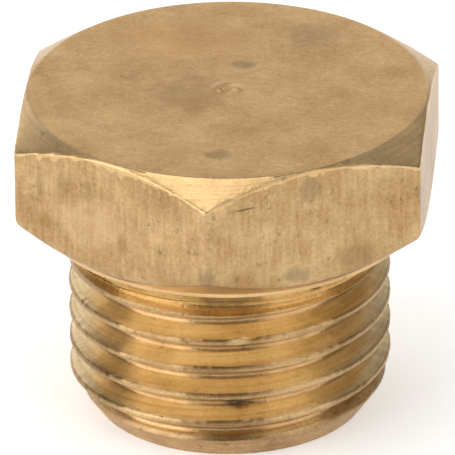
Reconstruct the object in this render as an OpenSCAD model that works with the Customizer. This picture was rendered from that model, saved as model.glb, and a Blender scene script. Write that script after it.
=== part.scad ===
// Brass plug: a hexagon head on a threaded shank, turned from one length of drawn hexagon bar.
// Units are millimetres. The plug stands on the end of its shank with the head up, Z along its axis.

/* [Head] */
// Width of the hexagon across its flats
hex_af = 12; // [11.5:0.1:14]
// Height of the head, chamfers included
head_h = 4; // [3:0.1:5]
// How far the round top face lies inside the flats
top_inset = 0.12; // [0.06:0.02:0.6]
// Slope of the chamfer above the flats, from the level
top_chamfer_deg = 30; // [20:1:40]
// How far the round bearing face under the head lies inside the flats
seat_inset = 0.05; // [0.05:0.05:0.4]
// Height of the thin round rim between the bearing face and the chamfer below the flats
seat_rim_h = 0.2; // [0.1:0.05:0.5]
// Slope of the chamfer below the flats, from the level
seat_chamfer_deg = 41; // [25:1:45]

/* [Shank] */
// Length of the shank from its end to the bearing face
shank_l = 6.1; // [6:0.1:9]
// Diameter of the end face, inside the end chamfer
end_face_d = 8; // [7:0.1:8.4]
// Slope of the end chamfer, from the axis
end_chamfer_deg = 45; // [30:1:55]

/* [Thread] */
// Diameter over the crests of the thread
thread_d = 9.7; // [9.5:0.05:10]
// Distance from crest to crest
thread_pitch = 0.907; // [0.8:0.001:1]
// Angle between the two sides of the groove
thread_angle = 55; // [55:1:60]
// Height at which the groove's middle crosses the +X side, counted from the end face
groove_start = 0.25; // [0:0.01:0.9]
// Plain neck between the top of the thread and the bearing face
neck_l = 0.25; // [0.2:0.05:1.2]

/* [Material] */
// Colour of the brass
brass_colour = "#b98d4f";

/* [Parts] */
// Piece to show

/* [Hidden] */
ROUND_FN = 96;
hex_corner_r = hex_af / 2 / cos(30);
total_h = shank_l + head_h;
top_face_r = hex_af / 2 - top_inset;
seat_r = hex_af / 2 - seat_inset;
// The turned outline of the head is carried past the hexagon's corners
corner_clear = 0.3;
turned_r = hex_corner_r + corner_clear;
top_chamfer_h = (turned_r - top_face_r) * tan(top_chamfer_deg);
seat_chamfer_h = (turned_r - seat_r) * tan(seat_chamfer_deg);
end_chamfer_h = (thread_d - end_face_d) / 2 / tan(end_chamfer_deg);
// How far the shank is carried into the head, so that the two are one solid
root_overlap = head_h / 2;
// Thread form: a sixth of the full triangle is cut off at the crest and at the root
triangle_h = thread_pitch / 2 / tan(thread_angle / 2);
thread_depth = triangle_h * 2 / 3;
root_w = thread_pitch / 6;
side_slope = tan(thread_angle / 2);
// The groove tool stands a little proud of the crests
tool_proud = 0.05;
steps_per_turn = 40;
// The groove runs in from below the end face and rises out of the shank over the last part of a turn
lead_in_turns = 1.5;
run_out_turns = 1.5;
groove_top = shank_l - neck_l;
groove_turns = (groove_top - groove_start) / thread_pitch + lead_in_turns;
groove_steps = ceil(groove_turns * steps_per_turn);

// Depth of the groove at a number of turns from its lower end
function depth_at(turn) =
    let (share = min(1, (groove_turns - turn) / run_out_turns))
    share * (thread_depth + tool_proud / 2) - tool_proud / 2;

// One section of the groove tool: outer lower, outer upper, inner upper, inner lower
function groove_section(i) =
    let (
        turn = i * groove_turns / groove_steps,
        angle = 360 * (turn - lead_in_turns),
        z = groove_start + (turn - lead_in_turns) * thread_pitch,
        outer_r = thread_d / 2 + tool_proud,
        inner_r = thread_d / 2 - depth_at(turn),
        root_half = root_w / 2,
        mouth_half = root_half + (outer_r - inner_r) * side_slope
    )
    [
        [outer_r * cos(angle), outer_r * sin(angle), z - mouth_half],
        [outer_r * cos(angle), outer_r * sin(angle), z + mouth_half],
        [inner_r * cos(angle), inner_r * sin(angle), z + root_half],
        [inner_r * cos(angle), inner_r * sin(angle), z - root_half]
    ];

// The helical tool that cuts the thread
module thread_groove() {
    points = [for (i = [0 : groove_steps]) each groove_section(i)];
    last = groove_steps * 4;
    sides = [
        for (i = [0 : groove_steps - 1], k = [0 : 3])
            let (a = i * 4 + k, b = i * 4 + (k + 1) % 4, c = a + 4, d = b + 4)
            each [[a, b, c], [b, d, c]]
    ];
    caps = [[2, 1, 0], [3, 2, 0], [last, last + 1, last + 2], [last, last + 2, last + 3]];
    polyhedron(points = points, faces = concat(sides, caps), convexity = 10);
}

// The turned outline of the shank before threading, carried up into the head
module shank_blank() {
    rotate_extrude($fn = ROUND_FN)
        polygon([
            [0, 0],
            [end_face_d / 2, 0],
            [thread_d / 2, end_chamfer_h],
            [thread_d / 2, shank_l + root_overlap],
            [0, shank_l + root_overlap]
        ]);
}

// The hexagon bar, with both ends of its corners turned off
module hex_head() {
    intersection() {
        translate([0, 0, shank_l])
            rotate(30)
                cylinder(h = head_h, r = hex_corner_r, $fn = 6);
        rotate_extrude($fn = ROUND_FN)
            polygon([
                [0, shank_l],
                [seat_r, shank_l],
                [seat_r, shank_l + seat_rim_h],
                [turned_r, shank_l + seat_rim_h + seat_chamfer_h],
                [turned_r, total_h - top_chamfer_h],
                [top_face_r, total_h],
                [0, total_h]
            ]);
    }
}

module plug() {
    color(brass_colour)
        union() {
            hex_head();
            difference() {
                shank_blank();
                thread_groove();
            }
        }
}

plug();
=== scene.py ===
"""Brass screw plug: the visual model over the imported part, on a pale floor in soft studio light."""

import math

import bmesh
import bpy
import numpy as np
from mathutils import Matrix, Vector


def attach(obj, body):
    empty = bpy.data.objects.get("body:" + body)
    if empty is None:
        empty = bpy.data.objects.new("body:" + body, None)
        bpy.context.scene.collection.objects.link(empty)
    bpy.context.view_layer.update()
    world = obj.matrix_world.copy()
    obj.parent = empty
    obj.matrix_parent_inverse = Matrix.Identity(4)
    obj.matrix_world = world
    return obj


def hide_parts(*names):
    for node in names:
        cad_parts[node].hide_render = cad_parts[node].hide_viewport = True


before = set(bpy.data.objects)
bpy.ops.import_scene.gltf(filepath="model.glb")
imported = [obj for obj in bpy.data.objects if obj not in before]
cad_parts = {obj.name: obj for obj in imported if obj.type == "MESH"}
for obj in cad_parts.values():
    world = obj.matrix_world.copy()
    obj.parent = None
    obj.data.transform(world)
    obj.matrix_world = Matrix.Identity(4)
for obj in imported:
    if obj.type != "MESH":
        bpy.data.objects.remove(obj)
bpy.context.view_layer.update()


# The plug. The real one is a single piece of brass, turned from drawn hexagon bar: the bar's flats stay as
# drawn, and the shank, the chamfers and the end are turned. Sizes are in millimetres, as on a drawing. Its
# skin is a net of points, in columns that run from the middle of the shank's end, up and over the head.
MM = 0.001

# The bar is the same every sixth of a turn. The columns stand a degree apart, and closer at its corners.
SIXTH = 60
COLUMN_STEP = 1.0
CORNER_CLEAR = 1.6
CORNER_STEPS = np.array([-1.3, -1.0, -0.83, -0.62, -0.42, -0.21, 0, 0.21, 0.42, 0.62, 0.83, 1.0, 1.3])
even_columns = np.arange(0, 360, COLUMN_STEP)
beside_corner = np.abs(even_columns % SIXTH - SIXTH / 2)
corner_columns = (SIXTH / 2 + np.arange(0, 360, SIXTH)[:, None] + CORNER_STEPS).ravel()
columns = np.concatenate([even_columns[beside_corner > CORNER_CLEAR], corner_columns])
columns = np.append(np.sort(columns), 360.0)
turn_angle = np.radians(columns)


def at(radius, height):
    """One point of the outline in every column."""
    return np.stack([radius + 0 * columns, height + 0 * columns], axis=-1)


# A rounding takes at the most this share of the shorter side beside its edge.
MOST_OF_SIDE = 0.45
SHORTEST = 1e-9


def rounded(before, corner, after, reach, count=4, worn=0.0, most=MOST_OF_SIDE):
    """Rows over an edge, rounded off from `reach` before it, and more where worn, to `reach` after it."""
    back = before - corner
    ahead = after - corner
    back_length = np.linalg.norm(back, axis=-1, keepdims=True)
    ahead_length = np.linalg.norm(ahead, axis=-1, keepdims=True)
    reach = np.minimum(reach, most * np.minimum(back_length, ahead_length))
    start = corner + back / np.maximum(back_length, SHORTEST) * (reach + worn)
    end = corner + ahead / np.maximum(ahead_length, SHORTEST) * reach
    steps = np.linspace(0, 1, count)
    return [(1 - t) ** 2 * start + 2 * t * (1 - t) * corner + t * t * end for t in steps]


def between(first, last, count):
    """Rows spaced evenly between two rows, without the two themselves."""
    return [first + (last - first) * t for t in np.linspace(0, 1, count + 2)[1:-1]]


# The shank. A die cuts its right-hand pipe thread: the groove runs in through the chamfered end, and out
# into a plain neck below the head. The neck is turned a little thinner than the thread, with a fine ridge
# at its lower end and a 45 degree lead down to the first crest.
THREAD_R = 4.8
PITCH = 0.907
THREAD_DEPTH = 0.581
THREAD_ANGLE = 55
SIDE_SLOPE = math.tan(math.radians(THREAD_ANGLE / 2))
ROOT_HALF = PITCH / 12
GROOVE_START = 0.23
GROOVE_TOP = 5.5
GROOVES = range(-1, 7)
RUN_OUT_GROOVE = 5
RUN_OUT_TURNS = 0.6
RUN_OUT_ROWS = 14
CREST_EDGE_R = 0.07
CREST_EDGE_MOST = 0.9
ROOT_EDGE_R = 0.08
ROOT_EDGE_ROWS = 3
LOWER_SIDE_SHARES = (0.25, 0.5)
SEAT_Z = 6.0
NECK_R = 4.6
NECK_LOW_Z = 5.18
NECK_FILLET = 0.02
NECK_LEAD = 0.17
NECK_RIDGE = 0.03
NECK_RIDGE_HALF = 0.03
END_FACE_R = 4.05
END_RINGS = (1.0, 2.0, 3.0, 3.6, 3.95)
END_CHAMFER = math.tan(math.radians(35))


def neck_limit(height):
    """Largest radius at a height: that of the neck, of its ridge, or of the lead below."""
    ridge = NECK_RIDGE * np.exp(-(((height - NECK_LOW_Z) / NECK_RIDGE_HALF) ** 2))
    return NECK_R + np.maximum(NECK_LOW_Z - height, 0) + ridge


# The die tears the crests a little: how deep, how far up and down, and how often, in degrees.
CREST_CHIP = 0.006
CREST_WANDER = 0.009
RAGGED_STEP = 1.7
RAGGED_SEED = 5
chance = np.random.default_rng(RAGGED_SEED)
ragged_turn = np.arange(-2 * 360, 10 * 360, RAGGED_STEP)
chip_along = np.abs(chance.normal(size=len(ragged_turn)))
wander_along = chance.normal(size=len(ragged_turn))


def crest_wear(turn):
    """Chips off the crest and wander of its edges, in every column of one turn of the thread."""
    along = columns + 360 * turn
    chips = CREST_CHIP * np.interp(along, ragged_turn, chip_along)
    return np.stack([-chips, CREST_WANDER * np.interp(along, ragged_turn, wander_along)], axis=-1)


rows = [at(0.0, 0.0)]
rows += [at(ring, 0.0) for ring in END_RINGS]
thread_first = len(rows)
side_rows = []
root_rows = []
for groove in GROOVES:
    middle_z = GROOVE_START + (columns / 360 + groove) * PITCH
    depth = THREAD_DEPTH * np.clip((GROOVE_TOP - middle_z) / PITCH / RUN_OUT_TURNS, 0, 1)
    share_of_depth = (depth / THREAD_DEPTH)[:, None]
    mouth = ROOT_HALF + depth * SIDE_SLOPE
    wear_below = crest_wear(groove)
    wear_above = crest_wear(groove + 1)
    crest_below = at(THREAD_R, middle_z - PITCH / 2) + wear_below * (1, 0)
    unworn_edge = at(THREAD_R, middle_z - mouth)
    lower_edge = unworn_edge + wear_below * share_of_depth
    lower_root = at(THREAD_R - depth, middle_z - ROOT_HALF)
    upper_root = at(THREAD_R - depth, middle_z + ROOT_HALF)
    upper_edge = at(THREAD_R, middle_z + mouth) + wear_above * (1, -1) * share_of_depth
    crest_above = at(THREAD_R, middle_z + PITCH / 2) + wear_above * (1, 0)
    lower_bend = rounded(crest_below, lower_edge, lower_root, CREST_EDGE_R, most=CREST_EDGE_MOST)
    rows += [crest_below]
    if groove == RUN_OUT_GROOVE:
        rows += between(crest_below, lower_bend[0], RUN_OUT_ROWS)
    rows += lower_bend
    # The two lowest grooves lie in the end's chamfer, where the side below is rubbed like a crest.
    if groove > 0:
        side_rows += range(len(rows) - 1, len(rows) + len(LOWER_SIDE_SHARES))
    rows += [unworn_edge + (lower_root - unworn_edge) * share for share in LOWER_SIDE_SHARES]
    root_rows += range(len(rows), len(rows) + 2 * ROOT_EDGE_ROWS - 1)
    rows += rounded(lower_edge, lower_root, upper_root, ROOT_EDGE_R, ROOT_EDGE_ROWS)
    rows += rounded(lower_root, upper_root, upper_edge, ROOT_EDGE_R, ROOT_EDGE_ROWS)
    side_rows += [len(rows) - 1, len(rows)]
    rows += between(upper_root, upper_edge, count=1)
    rows += rounded(upper_root, upper_edge, crest_above, CREST_EDGE_R, most=CREST_EDGE_MOST)
thread_last = len(rows)
for row in rows[thread_first:thread_last]:
    row[:, 1] = np.clip(row[:, 1], 0.0, SEAT_Z - NECK_FILLET)
    row[:, 0] = np.minimum(row[:, 0], END_FACE_R + row[:, 1] * END_CHAMFER)
    row[:, 0] = np.minimum(row[:, 0], neck_limit(row[:, 1]))

# A ding on a crest and a dent in a groove, from knocks. Each pulls the thread toward one radius: its
# direction, height, half width, half height and radius.
DENTS = [
    (278.6, 4.17, 0.42, 0.20, 4.77),
    (280.0, 1.85, 0.40, 0.12, 4.15),
]
DENT_STEEPNESS = 1.6
for direction, dent_z, half_width, half_height, dent_r in DENTS:
    across = np.radians((columns - direction + 180) % 360 - 180) * THREAD_R / half_width
    for row in rows[thread_first:thread_last]:
        away = np.hypot(across, (row[:, 1] - dent_z) / half_height)
        share = np.clip(DENT_STEEPNESS - DENT_STEEPNESS * away, 0, 1)
        row[:, 0] += (dent_r - row[:, 0]) * share

# The head. It is the bar's own hexagon, with its corners turned off above and below and a thin round rim
# under it. The turning tool has left its upper edges nicked and burred, and a small pip on the top.
HALF_FLATS = 6.0
BAR_CORNER_R = 0.2
TOTAL_H = 10.1
SEAT_R = 5.6
SEAT_EDGE_R = 0.05
RIM_TOP_Z = 6.13
RIM_EDGE_R = 0.03
SEAT_CHAMFER = math.tan(math.radians(37))
LOWER_EDGE_R = 0.2
UPPER_EDGE_R = 0.025
TOP_CHAMFER = math.tan(math.radians(33))
TOP_FACE_R = 5.92
TOP_EDGE_R = 0.05
TOP_RINGS = np.arange(5.5, 0.9, -0.5)


def bar_radius(degrees):
    """Distance from the axis to the side of the hexagon bar, whose corners are slightly round as drawn."""
    half = math.radians(SIXTH / 2)
    from_flat = np.radians((degrees + SIXTH / 2) % SIXTH - SIXTH / 2)
    from_corner = half - np.abs(from_flat)
    arc_flats = HALF_FLATS - BAR_CORNER_R
    arc_middle = arc_flats / math.cos(half)
    arc_ends = half - math.atan(arc_flats * math.tan(half) / HALF_FLATS)
    under_root = np.maximum(BAR_CORNER_R**2 - (arc_middle * np.sin(from_corner)) ** 2, 0)
    arc = arc_middle * np.cos(from_corner) + np.sqrt(under_root)
    return np.where(from_corner < arc_ends, arc, HALF_FLATS / np.cos(from_flat))


bar_r = bar_radius(columns)
past_top = bar_r - TOP_FACE_R

# The nicks are finer and coarser than the crests' chips. They eat into the flat, pull the edge itself down
# by a share of that, and leave the chamfer clean past a narrow strip. The edge is worn most in the middle
# of a flat.
EDGE_NICK = 0.028
NICKS_FINER = 1.5
NICKS_COARSER = 3
LOWEST_NICK = 0.45
EDGE_DROP = 0.3
EDGE_STRIP = 0.1
WORN_EDGE = 0.01
WORN_REACH = 6.5
small_nicks = np.interp(NICKS_FINER * columns, ragged_turn, chip_along**2)
large_nicks = np.interp(columns, NICKS_COARSER * ragged_turn, chip_along**2)
nicks = EDGE_NICK * (small_nicks + large_nicks)
worn = WORN_EDGE * np.clip((WORN_REACH - bar_r) / (WORN_REACH - HALF_FLATS), 0, 1) + nicks
past_strip = np.maximum(past_top - EDGE_STRIP, past_top / 2)

neck = at(NECK_R, NECK_LOW_Z)
seat_inner = at(NECK_R, SEAT_Z)
seat_outer = at(SEAT_R, SEAT_Z)
rim_top = at(SEAT_R, RIM_TOP_Z)
flat_low = at(bar_r, RIM_TOP_Z + (bar_r - SEAT_R) * SEAT_CHAMFER)
flat_high = at(bar_r, TOTAL_H - past_top * TOP_CHAMFER - nicks * EDGE_DROP)
chamfer_low = at(TOP_FACE_R + past_strip, TOTAL_H - past_strip * TOP_CHAMFER)
top_edge = at(TOP_FACE_R, TOTAL_H)
top_middle = at(0.0, TOTAL_H)
rows += rounded(neck, seat_inner, seat_outer, NECK_FILLET)
rows += between(seat_inner, seat_outer, count=3)
rows += rounded(seat_inner, seat_outer, rim_top, SEAT_EDGE_R)
rows += rounded(seat_outer, rim_top, flat_low, RIM_EDGE_R, count=3)
rim_last = len(rows)
rows += rounded(rim_top, flat_low, flat_high, LOWER_EDGE_R, count=5)
rows += between(rows[-1], flat_high - at(0, LOWEST_NICK), count=6)
flat_last = len(rows)
rows += rounded(flat_low, flat_high, chamfer_low, UPPER_EDGE_R, count=6, worn=worn[:, None])
rows += [chamfer_low]
rows += between(chamfer_low, top_edge, count=2)
rows += rounded(chamfer_low, top_edge, top_middle, TOP_EDGE_R)
top_first = len(rows)
rows += [at(ring, TOTAL_H) for ring in TOP_RINGS]

# The pip is a broken ring of metal, in two lumps that trail around the middle.
PIP_R = 0.3
PIP_WIDTH = 0.14
PIP_H = 0.07
PIP_LUMPS = 2
PIP_TRAIL = 5
PIP_RINGS = np.arange(0.7, 0.01, -0.05)
for ring in PIP_RINGS:
    lumps = 0.5 + 0.5 * np.sin(PIP_LUMPS * turn_angle + PIP_TRAIL * ring)
    swell = math.exp(-(((ring - PIP_R) / PIP_WIDTH) ** 2))
    rows += [at(ring, TOTAL_H + PIP_H * lumps * swell)]
rows += [top_middle]

# The net becomes one closed mesh. Its last column lies on the first, one turn of the thread on, so the two
# are welded where their points meet.
WELD = 0.00005
radius = np.array([row[:, 0] for row in rows])
height = np.array([row[:, 1] for row in rows])
points = np.stack([radius * np.cos(turn_angle), radius * np.sin(turn_angle), height], axis=-1) * MM
row_count, column_count = radius.shape
point_index = np.arange(row_count * column_count).reshape(row_count, column_count)
low_left = point_index[:-1, :-1].ravel()
low_right = point_index[:-1, 1:].ravel()
high_right = point_index[1:, 1:].ravel()
high_left = point_index[1:, :-1].ravel()
quads = np.stack([low_left, low_right, high_right, high_left], axis=-1)
mesh = bpy.data.meshes.new("plug")
mesh.from_pydata(points.reshape(-1, 3).tolist(), [], quads.tolist())

# Each face takes one of the finishes, numbered in the order in which they are made below. On the shank, a
# face that touches the end's chamfer, or has most of its corners on the neck, takes the finish of that.
DRAWN, TURNED, SIDES, CRESTS, TOP, END, ROOTS, NECK = range(8)
TOUCH = 0.002
END_FEWEST = 1
NECK_FEWEST = 3
finish_of_row = np.zeros(row_count, dtype=int)
finish_of_row[:thread_last] = CRESTS
finish_of_row[side_rows] = SIDES
finish_of_row[root_rows] = ROOTS
finish_of_row[thread_last:rim_last] = TURNED
finish_of_row[rim_last:flat_last] = DRAWN
finish_of_row[flat_last : top_first - 1] = TURNED
finish_of_row[top_first - 1 :] = TOP
face_row = np.repeat(np.arange(row_count - 1), column_count - 1)
finish_of_face = finish_of_row[face_row]
on_end = (radius >= END_FACE_R + height * END_CHAMFER - TOUCH) | (height < TOUCH)
on_neck = (radius >= neck_limit(height) - TOUCH) & (height > NECK_LOW_Z - NECK_LEAD)
for finish, here, fewest in ((END, on_end, END_FEWEST), (NECK, on_neck, NECK_FEWEST)):
    corners_here = here[:-1, :-1].astype(int) + here[:-1, 1:] + here[1:, 1:] + here[1:, :-1]
    finish_of_face[(corners_here >= fewest).ravel() & (face_row < thread_last)] = finish
mesh.polygons.foreach_set("material_index", finish_of_face.astype(np.int32))
welded = bmesh.new()
welded.from_mesh(mesh)
bmesh.ops.remove_doubles(welded, verts=welded.verts, dist=WELD * MM)
welded.to_mesh(mesh)
welded.free()
mesh.shade_smooth()
plug = bpy.data.objects.new("screw_plug", mesh)
bpy.context.scene.collection.objects.link(plug)
plug.modifiers.new("even shading", "WEIGHTED_NORMAL")


def linear(hex_colour):
    """An sRGB colour such as "#c9a06a" as the linear colour that a shader takes."""
    parts = [int(hex_colour[i : i + 2], 16) / 255 for i in (1, 3, 5)]
    return [p / 12.92 if p <= 0.04045 else ((p + 0.055) / 1.055) ** 2.4 for p in parts] + [1.0]


def add_node(tree, kind, inputs, **settings):
    """Adds one node with its settings. An input is a value, or the output of another node."""
    node = tree.nodes.new(kind)
    for name, value in settings.items():
        setattr(node, name, value)
    for name, value in inputs.items():
        if isinstance(value, bpy.types.NodeSocket):
            tree.links.new(value, node.inputs[name])
        else:
            node.inputs[name].default_value = value
    return node


# The brass of all the finishes: a metal that shows its colour in what it reflects, under a cloudy tarnish
# with fine grain and pits. Real drawing marks and turning lines are a few hundredths of a millimetre wide,
# too fine to show, so they are drawn about a tenth wide. Sizes are in mm, and lines are counted per mm.
TARNISH_SIZE = 1.5
TARNISH_HALF_RANGE = 0.25
NOISE_MIDDLE = 0.5
GRAIN_SIZE = 0.1
GRAIN_SHARE = 0.5
PIT_SIZE = 0.3
PIT_COLOUR = "#5e4a30"
PIT_RIM = 0.39
PIT_CORE = 0.29
TURNED_LINES = 9
TURNED_LINE_ENDS = 0.4
RELIEF_H = 0.03
RELIEF_STRENGTH = 0.25
# The sockets of a colour mix, which has others of the same names.
MIX_SHARE = 0
MIX_FIRST = 6
MIX_SECOND = 7
MIX_RESULT = 2


def brass_finish(name, clean, tarnish, roughness, line_shares, stretch=None, rise=0.0, pits=0.0):
    """A finish of the plug: brass under a cloudy tarnish, with fine lines, grain and small dark pits.

    The lines take the shares `line_shares` of the colour and of the relief. `stretch` gives the lines for
    each millimetre along X, Y and Z. Without it the lines run around the plug, and climb `rise` in a turn.
    """
    material = bpy.data.materials.new(name)
    material.use_nodes = True
    mesh.materials.append(material)
    tree = material.node_tree
    shader = tree.nodes["Principled BSDF"]
    shader.inputs["Metallic"].default_value = 1.0
    shader.inputs["Roughness"].default_value = roughness
    position = add_node(tree, "ShaderNodeTexCoord", {}).outputs["Object"]
    if stretch:
        per_metre = [count / MM for count in stretch]
        lines_place = add_node(tree, "ShaderNodeMapping", {"Vector": position, "Scale": per_metre}).outputs[0]
    else:
        level = add_node(
            tree, "ShaderNodeVectorMath", {0: position, 1: (1, 1, 0)}, operation="MULTIPLY"
        ).outputs[0]
        from_axis = add_node(tree, "ShaderNodeVectorMath", {0: level}, operation="LENGTH").outputs["Value"]
        along = add_node(tree, "ShaderNodeSeparateXYZ", {"Vector": position}).outputs
        angle = add_node(
            tree, "ShaderNodeMath", {0: along["Y"], 1: along["X"]}, operation="ARCTAN2"
        ).outputs[0]
        climb = -rise * MM / (2 * math.pi)
        up_thread = add_node(
            tree, "ShaderNodeMath", {0: angle, 1: climb, 2: along["Z"]}, operation="MULTIPLY_ADD"
        ).outputs[0]
        profile = add_node(tree, "ShaderNodeCombineXYZ", {"X": from_axis, "Y": up_thread}).outputs[0]
        drawn_out = add_node(
            tree, "ShaderNodeVectorMath", {0: position, 1: [TURNED_LINE_ENDS / MM] * 3}, operation="MULTIPLY"
        ).outputs[0]
        lines_place = add_node(
            tree,
            "ShaderNodeVectorMath",
            {0: profile, 1: [TURNED_LINES / MM] * 3, 2: drawn_out},
            operation="MULTIPLY_ADD",
        ).outputs[0]
    lines = add_node(
        tree, "ShaderNodeTexNoise", {"Vector": lines_place, "Scale": 1.0, "Detail": 3.0}
    ).outputs[0]
    clouds = add_node(
        tree,
        "ShaderNodeTexNoise",
        {"Vector": position, "Scale": 1 / (TARNISH_SIZE * MM), "Detail": 5.0, "Roughness": 0.65},
    ).outputs[0]
    grain = add_node(
        tree,
        "ShaderNodeTexNoise",
        {"Vector": position, "Scale": 1 / (GRAIN_SIZE * MM), "Detail": 2.0, "Roughness": 0.6},
    ).outputs[0]
    colour_share, relief_share = line_shares
    marks = add_node(
        tree, "ShaderNodeMath", {0: lines, 1: colour_share, 2: clouds}, operation="MULTIPLY_ADD"
    ).outputs[0]
    marks = add_node(
        tree, "ShaderNodeMath", {0: grain, 1: GRAIN_SHARE, 2: marks}, operation="MULTIPLY_ADD"
    ).outputs[0]
    middle = NOISE_MIDDLE * (colour_share + 1 + GRAIN_SHARE)
    tarnished = add_node(
        tree,
        "ShaderNodeMapRange",
        {"Value": marks, "From Min": middle - TARNISH_HALF_RANGE, "From Max": middle + TARNISH_HALF_RANGE},
    ).outputs["Result"]
    colour = add_node(
        tree,
        "ShaderNodeMix",
        {MIX_SHARE: tarnished, MIX_FIRST: linear(clean), MIX_SECOND: linear(tarnish)},
        data_type="RGBA",
    ).outputs[MIX_RESULT]
    specks = add_node(
        tree,
        "ShaderNodeTexNoise",
        {"Vector": position, "Scale": 1 / (PIT_SIZE * MM), "Detail": 3.0, "Roughness": 0.7},
    ).outputs[0]
    pitted = add_node(
        tree,
        "ShaderNodeMapRange",
        {"Value": specks, "From Min": PIT_RIM, "From Max": PIT_CORE, "To Max": pits},
    ).outputs["Result"]
    colour = add_node(
        tree,
        "ShaderNodeMix",
        {MIX_SHARE: pitted, MIX_FIRST: colour, MIX_SECOND: linear(PIT_COLOUR)},
        data_type="RGBA",
    ).outputs[MIX_RESULT]
    relief = add_node(
        tree, "ShaderNodeMath", {0: lines, 1: relief_share, 2: grain}, operation="MULTIPLY_ADD"
    ).outputs[0]
    bump = add_node(
        tree, "ShaderNodeBump", {"Height": relief, "Strength": RELIEF_STRENGTH, "Distance": RELIEF_H * MM}
    ).outputs["Normal"]
    tree.links.new(bump, shader.inputs["Normal"])
    tree.links.new(colour, shader.inputs["Base Color"])
    return tree, shader, position


# A stain's edge is ragged, and fades out from its core to its rim.
STAIN_EDGE_SIZE = 0.5
STAIN_RAGGED = 1.6
STAIN_RIM = 2.0
STAIN_CORE = 1.2


def stain(finish, colour, amount, middle, half_size):
    """Adds a soft stain to a finish, at a place and with half sizes in millimetres."""
    tree, shader, position = finish
    edges = add_node(
        tree,
        "ShaderNodeTexNoise",
        {"Vector": position, "Scale": 1 / (STAIN_EDGE_SIZE * MM), "Detail": 4.0},
    ).outputs[0]
    from_middle = add_node(
        tree, "ShaderNodeVectorMath", {0: position, 1: [v * MM for v in middle]}, operation="SUBTRACT"
    ).outputs[0]
    per_half = [1 / (v * MM) for v in half_size]
    share_out = add_node(
        tree, "ShaderNodeVectorMath", {0: from_middle, 1: per_half}, operation="MULTIPLY"
    ).outputs[0]
    away = add_node(tree, "ShaderNodeVectorMath", {0: share_out}, operation="LENGTH").outputs["Value"]
    away = add_node(
        tree, "ShaderNodeMath", {0: edges, 1: STAIN_RAGGED, 2: away}, operation="MULTIPLY_ADD"
    ).outputs[0]
    cover = add_node(
        tree,
        "ShaderNodeMapRange",
        {"Value": away, "From Min": STAIN_RIM, "From Max": STAIN_CORE, "To Max": amount},
        interpolation_type="SMOOTHSTEP",
    ).outputs["Result"]
    clean = shader.inputs["Base Color"].links[0].from_socket
    mixed = add_node(
        tree,
        "ShaderNodeMix",
        {MIX_SHARE: cover, MIX_FIRST: clean, MIX_SECOND: linear(colour)},
        data_type="RGBA",
    ).outputs[MIX_RESULT]
    tree.links.new(mixed, shader.inputs["Base Color"])


# Drawn brass: the bar's flats keep the streaks of the drawing die along the bar, so they look satin and
# grained from top to bottom. Handling has left smudges, brown patches, dark streaks and one scratch, and
# the foot of the flats is darker around the front corner.
drawn = brass_finish(
    "drawn brass flats",
    clean="#cfaf80",
    tarnish="#a38053",
    roughness=0.34,
    line_shares=(0.45, 0.6),
    stretch=(8, 8, 0.9),
    pits=0.5,
)
stain(drawn, "#7d6b50", 0.5, (2.57, -5.44, 6.81), (0.6, 0.5, 0.3))
stain(drawn, "#7d6b50", 0.4, (2.95, -5.23, 9.50), (0.35, 0.3, 0.5))
stain(drawn, "#5e4a30", 0.8, (1.12, -6.28, 9.31), (0.6, 0.4, 0.05))
# A darker tone along the foot of the flats around the front corner, toward the rim below.
stain(drawn, "#a07f52", 0.45, (0.0, -6.7, 6.75), (2.2, 1.2, 0.5))
stain(drawn, "#7d6b50", 0.4, (0.0, -6.9, 7.1), (0.3, 0.3, 0.5))
stain(drawn, "#8f7650", 0.45, (4.17, -4.51, 7.04), (0.8, 0.8, 0.45))
stain(drawn, "#e0c094", 0.35, (-3.43, -4.95, 7.89), (1.7, 1.7, 0.9))
stain(drawn, "#96703f", 0.55, (-2.64, -5.41, 7.58), (0.25, 0.25, 0.35))
stain(drawn, "#96703f", 0.5, (-5.04, -4.02, 7.54), (0.35, 0.35, 0.3))
stain(drawn, "#8a6d45", 0.35, (-5.2, -3.93, 8.74), (0.16, 0.16, 0.6))
stain(drawn, "#8a6d45", 0.3, (-4.45, -4.36, 8.95), (0.3, 0.3, 0.5))
stain(drawn, "#8a6d45", 0.35, (-3.65, -4.82, 9.0), (0.2, 0.2, 0.4))

# Turned brass: the chamfers and the rim are the cleanest part. They flash brightly where they face a light,
# and show fine lines around the plug.
brass_finish(
    "turned brass",
    clean="#e2c08c",
    tarnish="#c9a470",
    roughness=0.33,
    line_shares=(0.8, 1.0),
    pits=0.4,
)

# Die-cut brass: the die tears the sides of the thread a little, so they are satin, with dull bands of
# painted shade up the left and the right. The dent is dark with grime, and the ding is bare and pale.
DENT_GRIME = ("#453838", 0.75, (0.74, -4.29, 1.83), (0.6, 0.3, 0.12))
BARE_DING = ("#f0cb92", 0.7, (0.714, -4.69, 4.18), (0.42, 0.4, 0.19))
sides = brass_finish(
    "die-cut brass thread sides",
    clean="#f0d6a6",
    tarnish="#d2b27e",
    roughness=0.32,
    line_shares=(1.0, 1.0),
    rise=PITCH,
    pits=0.3,
)
# Painted shade: two dark bands up the right and the left of the sides, where they reflect a dimmer floor.
stain(sides, "#7d6038", 0.34, (3.95, -2.35, 2.8), (2.1, 2.1, 5.0))
stain(sides, "#7d6038", 0.4, (-3.3, -3.2, 2.8), (0.75, 0.75, 5.0))
stain(sides, *DENT_GRIME)
stain(sides, *BARE_DING)

# Burnished brass: the crests are rubbed by the die and by handling. They catch the light as pale lines, and
# small pits and brown tarnish break these up. On the far left, painted shade dims them.
crests = brass_finish(
    "burnished brass thread crests",
    clean="#d8b684",
    tarnish="#a07e53",
    roughness=0.36,
    line_shares=(0.8, 1.0),
    rise=PITCH,
    pits=0.7,
)
# Painted shade: a dim band up the crests on the far left, where they reflect a dimmer floor.
stain(crests, "#9c7b50", 0.35, (-4.3, -2.1, 2.8), (1.5, 1.5, 5.0))
stain(crests, *BARE_DING)

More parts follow.
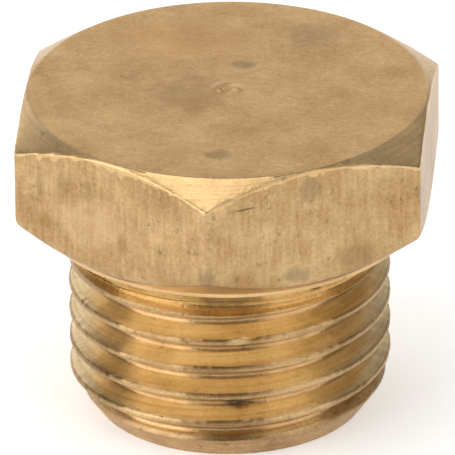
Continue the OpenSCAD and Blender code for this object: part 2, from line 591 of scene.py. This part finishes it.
# Tarnished brass: the top is the faced end of the bar. Air and fingers have left it duller and cloudy, with
# faint strokes across it, three dark smudges and a warmer patch.
top = brass_finish(
    "tarnished brass top",
    clean="#f0c88d",
    tarnish="#c99e64",
    roughness=0.42,
    line_shares=(0.3, 0.9),
    stretch=(5, 7, 7),
    pits=0.2,
)
stain(top, "#a58a60", 0.4, (2.14, 3.79, TOTAL_H), (0.9, 0.9, 1))
stain(top, "#9d8259", 0.6, (0.3, 1.64, TOTAL_H), (0.4, 0.3, 1))
stain(top, "#9d8259", 0.6, (0.12, -4.4, TOTAL_H), (0.45, 0.35, 1))
stain(top, "#b48c58", 0.5, (-1.06, -0.5, TOTAL_H), (1.3, 1.4, 1))
stain(top, "#d9a765", 0.35, (-1.8, 3.2, TOTAL_H), (2.4, 1.6, 1))

# Worn brass: the plug stands and rubs on the end of its shank, so this is the dullest part, with many pits
# and hardly any lines left.
brass_finish(
    "worn brass end",
    clean="#d6b382",
    tarnish="#a5835a",
    roughness=0.45,
    line_shares=(0.6, 0.8),
    pits=0.6,
)

# Brass in the roots of the thread: it is given a darker colour than the sides, and is glossier, since
# nothing rubs it.
roots = brass_finish(
    "darker-toned brass thread roots",
    clean="#dfba88",
    tarnish="#ba9464",
    roughness=0.3,
    line_shares=(0.8, 1.0),
    rise=PITCH,
    pits=0.5,
)
stain(roots, *DENT_GRIME)

# Turned brass in the neck: between the head and the thread it reflects brass on brass, so its colour is
# painted a deeper gold, a painted reflection. Its front is darkened by painted shade, and grime has gathered
# in one nick.
neck_brass = brass_finish(
    "turned brass neck",
    clean="#dfb270",
    tarnish="#ae844a",
    roughness=0.3,
    line_shares=(0.9, 1.0),
    pits=0.5,
)
# Painted shade: the front of the neck is darkened where it reflects the dark camera side of the room.
stain(neck_brass, "#5e4628", 0.65, (0.45, -4.58, 5.45), (1.25, 0.6, 0.3))
stain(neck_brass, "#5a4326", 0.8, (2.93, -3.54, 5.45), (0.2, 0.2, 0.12))

# The lines around the shank blur what it reflects upward and downward, and keep it sharp to the sides. The
# sides of the thread are torn, so they do this less. The shader counts a whole turn as 1.
TORN_BLUR = 0.4
LINED_BLUR = 0.95
QUARTER_TURN = 0.25
blurred = [(sides, TORN_BLUR), (crests, LINED_BLUR), (roots, LINED_BLUR), (neck_brass, LINED_BLUR)]
for (tree, shader, _), blur in blurred:
    shader.inputs["Anisotropic"].default_value = blur
    shader.inputs["Anisotropic Rotation"].default_value = QUARTER_TURN
    around = add_node(tree, "ShaderNodeTangent", {}, direction_type="RADIAL", axis="Z").outputs["Tangent"]
    tree.links.new(around, shader.inputs["Tangent"])

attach(plug, "root")
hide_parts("plug")


# The floor: a wide sheet of matt white board that the plug stands on. What the camera and the brass see of
# it is lifted toward white, and it keeps the plug's shadow.
FLOOR_HALF = 1.0
FLOOR_LIFT = 0.4
floor_mesh = bpy.data.meshes.new("floor")
floor_corners = [(-FLOOR_HALF, -FLOOR_HALF, 0), (FLOOR_HALF, -FLOOR_HALF, 0)]
floor_corners += [(FLOOR_HALF, FLOOR_HALF, 0), (-FLOOR_HALF, FLOOR_HALF, 0)]
floor_mesh.from_pydata(floor_corners, [], [(0, 1, 2, 3)])
floor = bpy.data.objects.new("floor", floor_mesh)
bpy.context.scene.collection.objects.link(floor)
board = bpy.data.materials.new("matt white board")
board.use_nodes = True
board_tree = board.node_tree
board_shader = board_tree.nodes["Principled BSDF"]
board_shader.inputs["Base Color"].default_value = linear("#f4f4f3")
board_shader.inputs["Roughness"].default_value = 0.9
board_shader.inputs["Emission Color"].default_value = linear("#ffffff")
ray = add_node(board_tree, "ShaderNodeLightPath", {}).outputs
seen = add_node(
    board_tree, "ShaderNodeMath", {0: ray["Is Camera Ray"], 1: ray["Is Glossy Ray"]}, operation="MAXIMUM"
).outputs[0]
seen = add_node(
    board_tree, "ShaderNodeMath", {0: seen, 1: ray["Is Transmission Ray"]}, operation="MAXIMUM"
).outputs[0]
lift = add_node(board_tree, "ShaderNodeMath", {0: seen, 1: FLOOR_LIFT}, operation="MULTIPLY").outputs[0]
board_tree.links.new(lift, board_shader.inputs["Emission Strength"])
floor_mesh.materials.append(board)


# The camera: a long lens about a third of a metre away, a little to the right of a corner of the hexagon.
# It looks down on the head, and is turned slightly about its own axis. Its lens is given in pixels.
CAMERA_AZIMUTH = 5.63
CAMERA_ELEVATION = 26.31
CAMERA_DISTANCE = 0.35
CAMERA_ROLL = -0.58
CAMERA_ABOUT_Z = 0.010
CAMERA_CLIP = 0.01
AIM_Z = 0.005488
AIM_LEFT = 0.000047
IMAGE_SIDE = 455
FOCAL_PIXELS = 11820
SENSOR = 36.0


def toward(azimuth, elevation):
    """Direction from the plug to a point that is seen at an azimuth from the front and an elevation."""
    a = math.radians(azimuth)
    e = math.radians(elevation)
    return Vector((math.sin(a) * math.cos(e), -math.cos(a) * math.cos(e), math.sin(e)))


camera_data = bpy.data.cameras.new("camera")
camera = bpy.data.objects.new("camera", camera_data)
bpy.context.scene.collection.objects.link(camera)
camera_data.sensor_width = SENSOR
camera_data.lens = FOCAL_PIXELS / IMAGE_SIDE * SENSOR
camera_data.clip_start = CAMERA_CLIP
place = Vector((0, 0, CAMERA_ABOUT_Z)) + CAMERA_DISTANCE * toward(CAMERA_AZIMUTH, CAMERA_ELEVATION)
level_right = Vector((math.cos(math.radians(CAMERA_AZIMUTH)), math.sin(math.radians(CAMERA_AZIMUTH)), 0))
aim = Vector((0, 0, AIM_Z)) - AIM_LEFT * level_right
forward = (aim - place).normalized()
right = forward.cross(Vector((0, 0, 1))).normalized()
up = right.cross(forward)
roll = math.radians(CAMERA_ROLL)
image_right = right * math.cos(roll) + up * math.sin(roll)
image_up = up * math.cos(roll) - right * math.sin(roll)
camera_turn = Matrix((image_right, image_up, -forward)).transposed().to_4x4()
camera.matrix_world = Matrix.Translation(place) @ camera_turn
bpy.context.scene.camera = camera


# The light: two tall soft boxes in front, one on either side, one overhead and a weak one behind, in a
# plain room. A white sheet hangs behind, lit more on the left, and the camera's side of the room is darker.
LIGHT_AIM_Z = 0.006


def soft_box(name, azimuth, elevation, distance, width, tall, level):
    """A soft box aimed at the plug. Its level is the brightness of its cloth, where 1 is white."""
    lamp = bpy.data.lights.new(name, "AREA")
    lamp.shape = "RECTANGLE"
    lamp.size = width
    lamp.size_y = tall
    lamp.energy = level * math.pi * width * tall
    box = bpy.data.objects.new(name, lamp)
    bpy.context.scene.collection.objects.link(box)
    outward = toward(CAMERA_AZIMUTH + azimuth, elevation)
    box.location = Vector((0, 0, LIGHT_AIM_Z)) + distance * outward
    box.rotation_euler = (-outward).to_track_quat("-Z", "Y").to_euler()


soft_box("left box", azimuth=-59, elevation=24, distance=0.30, width=0.28, tall=0.32, level=2.1)
soft_box("right box", azimuth=50, elevation=33, distance=0.30, width=0.27, tall=0.44, level=1.1)
soft_box("top box", azimuth=-130, elevation=79, distance=0.32, width=0.24, tall=0.24, level=1.95)
soft_box("back box", azimuth=130, elevation=41, distance=0.30, width=0.14, tall=0.14, level=0.25)

# The sheet and the dark side fade in between two heights, or two shares of the way toward their middles.
SHEET_LEVEL = 0.75
SHEET_AZIMUTH = 197
SHEET_ELEVATION = 0
SHEET_NONE_ABOVE = 0.58
SHEET_FULL_BELOW = 0.38
SHEET_NONE_BESIDE = 0.6
SHEET_FULL_WITHIN = 0.85
ROOM_LEVEL = 0.3
DARK_LEVEL = 0.12
DARK_ELEVATION = 25
DARK_NONE_BESIDE = -0.25
DARK_FULL_WITHIN = 0.1
world = bpy.data.worlds.new("studio")
world.use_nodes = True
bpy.context.scene.world = world
room = world.node_tree
direction = add_node(room, "ShaderNodeTexCoord", {}).outputs["Generated"]
height_up = add_node(room, "ShaderNodeSeparateXYZ", {"Vector": direction}).outputs["Z"]
sheet_height = add_node(
    room,
    "ShaderNodeMapRange",
    {"Value": height_up, "From Min": SHEET_NONE_ABOVE, "From Max": SHEET_FULL_BELOW},
    interpolation_type="SMOOTHSTEP",
).outputs["Result"]
behind = add_node(
    room,
    "ShaderNodeVectorMath",
    {0: direction, 1: toward(CAMERA_AZIMUTH + SHEET_AZIMUTH, SHEET_ELEVATION)},
    operation="DOT_PRODUCT",
).outputs["Value"]
sheet_side = add_node(
    room,
    "ShaderNodeMapRange",
    {"Value": behind, "From Min": SHEET_NONE_BESIDE, "From Max": SHEET_FULL_WITHIN},
    interpolation_type="SMOOTHSTEP",
).outputs["Result"]
sheet = add_node(room, "ShaderNodeMath", {0: sheet_height, 1: sheet_side}, operation="MULTIPLY").outputs[0]
ahead = add_node(
    room,
    "ShaderNodeVectorMath",
    {0: direction, 1: toward(CAMERA_AZIMUTH, DARK_ELEVATION)},
    operation="DOT_PRODUCT",
).outputs["Value"]
room_light = add_node(
    room,
    "ShaderNodeMapRange",
    {
        "Value": ahead,
        "From Min": DARK_NONE_BESIDE,
        "From Max": DARK_FULL_WITHIN,
        "To Min": ROOM_LEVEL,
        "To Max": DARK_LEVEL,
    },
    interpolation_type="SMOOTHSTEP",
).outputs["Result"]
all_light = add_node(
    room, "ShaderNodeMath", {0: sheet, 1: SHEET_LEVEL, 2: room_light}, operation="MULTIPLY_ADD"
).outputs[0]
background = room.nodes["Background"]
background.inputs["Color"].default_value = linear("#ffffff")
room.links.new(all_light, background.inputs["Strength"])

bpy.context.scene.view_settings.view_transform = "Standard"
